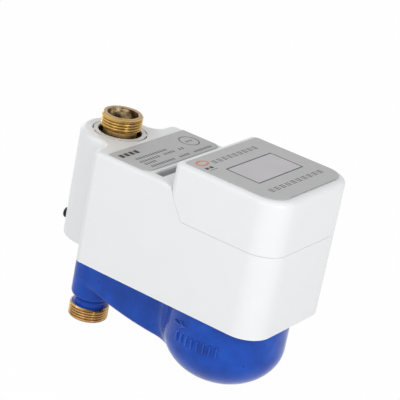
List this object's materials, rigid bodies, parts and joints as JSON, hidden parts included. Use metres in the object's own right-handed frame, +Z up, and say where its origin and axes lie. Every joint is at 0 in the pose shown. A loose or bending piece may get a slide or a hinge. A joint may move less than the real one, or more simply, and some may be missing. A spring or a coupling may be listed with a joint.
{
  "type": "water meter",
  "caption": "Vertical prepaid water meter: blue cast body with bowl and threaded pipe ends, white case with card slot and display head, shut-off valve inside.",
  "frame": {"origin": "centre of the inlet's end face, on the pipe axis", "axes": "+Z up along the pipe from inlet to outlet, +X from the pipe towards the bowl and the display head"},
  "size_m": [0.1786, 0.0854, 0.1486],
  "materials": {
    "blue_paint": "glossy blue paint over a rough casting",
    "brass": "bare machined brass",
    "white_plastic": "glossy white moulding",
    "collar_plastic": "off-white moulding",
    "grey_plate": "matte grey printed sheet",
    "display": "blank display behind a clear sheet",
    "dark_plastic": "dark grey moulding",
    "black_plastic": "black moulding",
    "pale_plastic": "pale moulding",
    "clear_glass": "clear glass",
    "steel": "plain steel",
    "magnet": "dark sintered magnet",
    "rubber": "black rubber",
    "red_plastic": "red moulding",
    "board": "green circuit board",
    "cell": "sleeved battery cell"
  },
  "bodies": {
    "root": {"meter_body": "blue_paint", "valve_body": "brass", "valve_tailpiece": "brass", "cover_ring": "brass", "pressure_plate": "brass", "gear_plate": "brass", "lower_case": "white_plastic", "head_cover": "white_plastic", "bottom_plate": "white_plastic", "head_base": "white_plastic", "pipe_collar": "collar_plastic", "nameplate": "grey_plate", "faceplate": "grey_plate", "lcd_window": "display", "lcd_module": "display", "card_reader": "dark_plastic", "gearbox_base": "dark_plastic", "gearbox_cover": "dark_plastic", "seal_plug": "black_plastic", "inlet_strainer": "pale_plastic", "measuring_chamber": "pale_plastic", "chamber_cover": "pale_plastic", "register_case": "pale_plastic", "dial": "pale_plastic", "valve_seats": "pale_plastic", "register_glass": "clear_glass", "impeller_pivot": "steel", "roller_axle": "steel", "roller_frame": "steel", "motor": "steel", "gearbox_screws": "steel", "case_screws": "steel", "head_screws": "steel", "body_seal": "rubber", "glass_gasket": "rubber", "tailpiece_seal": "rubber", "main_board": "board", "pulse_sensor": "board", "battery_cells": "cell"},
    "impeller": {"impeller": "pale_plastic", "impeller_magnet": "magnet"},
    "register_arbor": {"register_arbor": "brass", "register_magnet": "magnet", "leak_star": "red_plastic"},
    "second_wheel": {"second_wheel": "brass"},
    "pointer_wheel": {"pointer_wheel": "brass", "pointer": "red_plastic"},
    "valve": {"valve_ball": "brass", "valve_stem": "steel", "stem_seal": "rubber", "output_gear": "pale_plastic"},
    "idler": {"idler_gear": "pale_plastic"},
    "motor_rotor": {"motor_pinion": "brass"},
    "number_wheel_1": {"number_wheel_1": "black_plastic"},
    "number_wheel_2": {"number_wheel_2": "black_plastic"},
    "number_wheel_3": {"number_wheel_3": "black_plastic"},
    "number_wheel_4": {"number_wheel_4": "black_plastic"},
    "number_wheel_5": {"number_wheel_5": "black_plastic"}
  },
  "joints": [
    {"name": "impeller_spin", "type": "hinge", "parent": "root", "child": "impeller", "pos_m": [0.1058, 0, 0.03], "axis": [0, 0, 1], "continuous": true},
    {"name": "register_spin", "type": "hinge", "parent": "root", "child": "register_arbor", "pos_m": [0.1058, 0, 0.07], "axis": [0, 0, 1], "continuous": true},
    {"name": "second_wheel_spin", "type": "hinge", "parent": "root", "child": "second_wheel", "pos_m": [0.1208, 0, 0.07], "axis": [0, 0, 1], "continuous": true},
    {"name": "pointer_spin", "type": "hinge", "parent": "root", "child": "pointer_wheel", "pos_m": [0.1133, 0.01299, 0.08], "axis": [0, 0, 1], "continuous": true},
    {"name": "number_wheel_1_spin", "type": "hinge", "parent": "root", "child": "number_wheel_1", "pos_m": [0.0918, 0, 0.0845], "axis": [0, 1, 0], "continuous": true},
    {"name": "number_wheel_2_spin", "type": "hinge", "parent": "root", "child": "number_wheel_2", "pos_m": [0.0918, 0, 0.0845], "axis": [0, 1, 0], "continuous": true},
    {"name": "number_wheel_3_spin", "type": "hinge", "parent": "root", "child": "number_wheel_3", "pos_m": [0.0918, 0, 0.0845], "axis": [0, 1, 0], "continuous": true},
    {"name": "number_wheel_4_spin", "type": "hinge", "parent": "root", "child": "number_wheel_4", "pos_m": [0.0918, 0, 0.0845], "axis": [0, 1, 0], "continuous": true},
    {"name": "number_wheel_5_spin", "type": "hinge", "parent": "root", "child": "number_wheel_5", "pos_m": [0.0918, 0, 0.0845], "axis": [0, 1, 0], "continuous": true},
    {"name": "valve_turn", "type": "hinge", "parent": "root", "child": "valve", "pos_m": [0, 0, 0.092], "axis": [1, 0, 0], "range_deg": [0, 90]},
    {"name": "idler_turn", "type": "hinge", "parent": "root", "child": "idler", "pos_m": [0.03, 0.02, 0.092], "axis": [1, 0, 0], "range_deg": [-360, 0]},
    {"name": "motor_turn", "type": "hinge", "parent": "root", "child": "motor_rotor", "pos_m": [0.035, 0.02, 0.0805], "axis": [1, 0, 0], "range_deg": [0, 1296]}
  ],
  "couplings": [
    {"joint": "register_spin", "follows": "impeller_spin", "ratio": 1},
    {"joint": "second_wheel_spin", "follows": "impeller_spin", "ratio": -0.25},
    {"joint": "pointer_spin", "follows": "impeller_spin", "ratio": 0.0625},
    {"joint": "number_wheel_1_spin", "follows": "impeller_spin", "ratio": 0.00625},
    {"joint": "number_wheel_2_spin", "follows": "impeller_spin", "ratio": 0.000625},
    {"joint": "number_wheel_3_spin", "follows": "impeller_spin", "ratio": 0.0000625},
    {"joint": "number_wheel_4_spin", "follows": "impeller_spin", "ratio": 0.00000625},
    {"joint": "number_wheel_5_spin", "follows": "impeller_spin", "ratio": 0.000000625},
    {"joint": "idler_turn", "follows": "valve_turn", "ratio": -4},
    {"joint": "motor_turn", "follows": "valve_turn", "ratio": 14.4}
  ]
}
